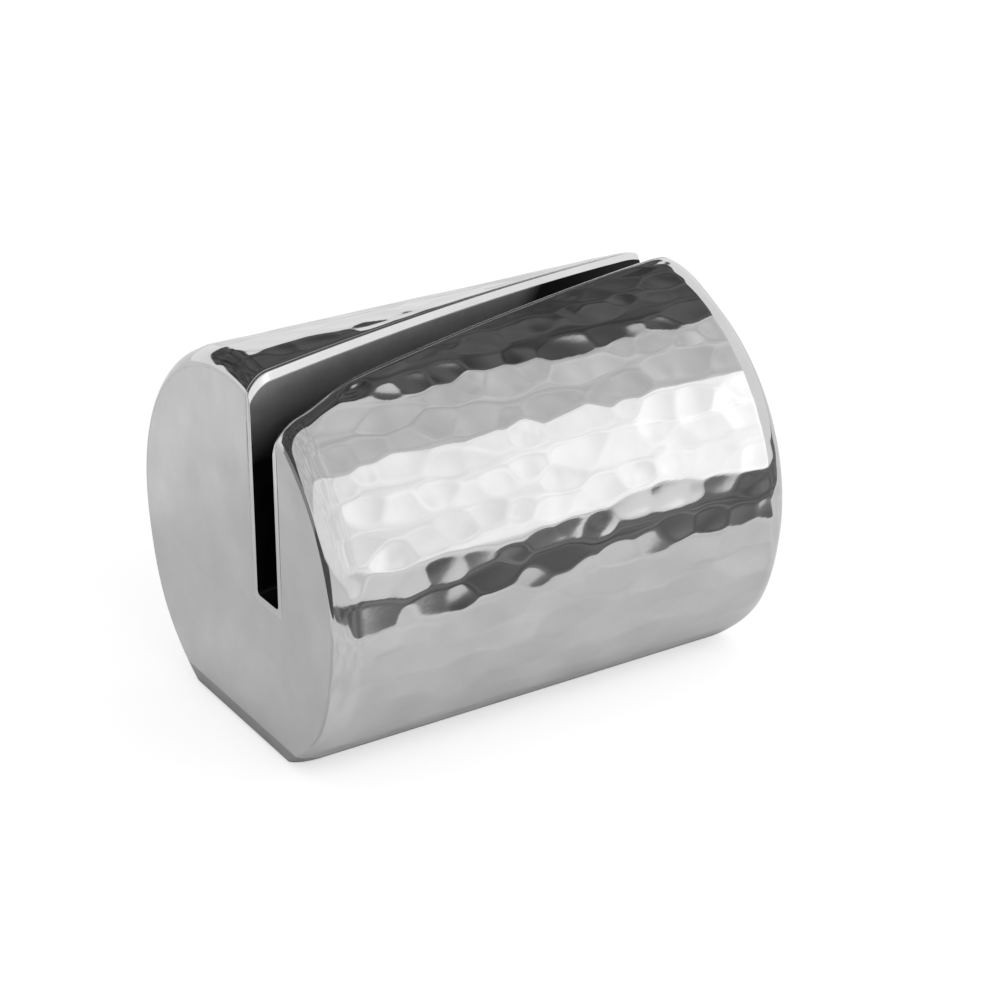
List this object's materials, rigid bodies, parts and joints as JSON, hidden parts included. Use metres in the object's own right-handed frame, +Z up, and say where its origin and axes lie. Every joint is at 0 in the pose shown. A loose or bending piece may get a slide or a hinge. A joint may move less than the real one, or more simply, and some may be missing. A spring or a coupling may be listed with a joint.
{
  "type": "place card holder",
  "caption": "Hammered metal barrel place card holder on a flat base, with a slanted slot sawn through its crown that holds a card upright.",
  "frame": {"origin": "under the middle of the flat base, on the surface that the holder stands on", "axes": "+Z up, +X along the barrel, front at -Y"},
  "size_m": [0.038, 0.0306, 0.0285],
  "materials": {
    "hammered_skin": "polished, planished all over with round hammer marks",
    "satin_plate": "satin, finely cloudy",
    "channel_metal": "satin, darker inside the slot",
    "base_metal": "satin, rubbed flat"
  },
  "bodies": {
    "root": {"front_panel": "hammered_skin", "back_panel": "hammered_skin", "left_end_plate": "satin_plate", "right_end_plate": "satin_plate", "slot_channel": "channel_metal", "base_plate": "base_metal"}
  },
  "joints": []
}
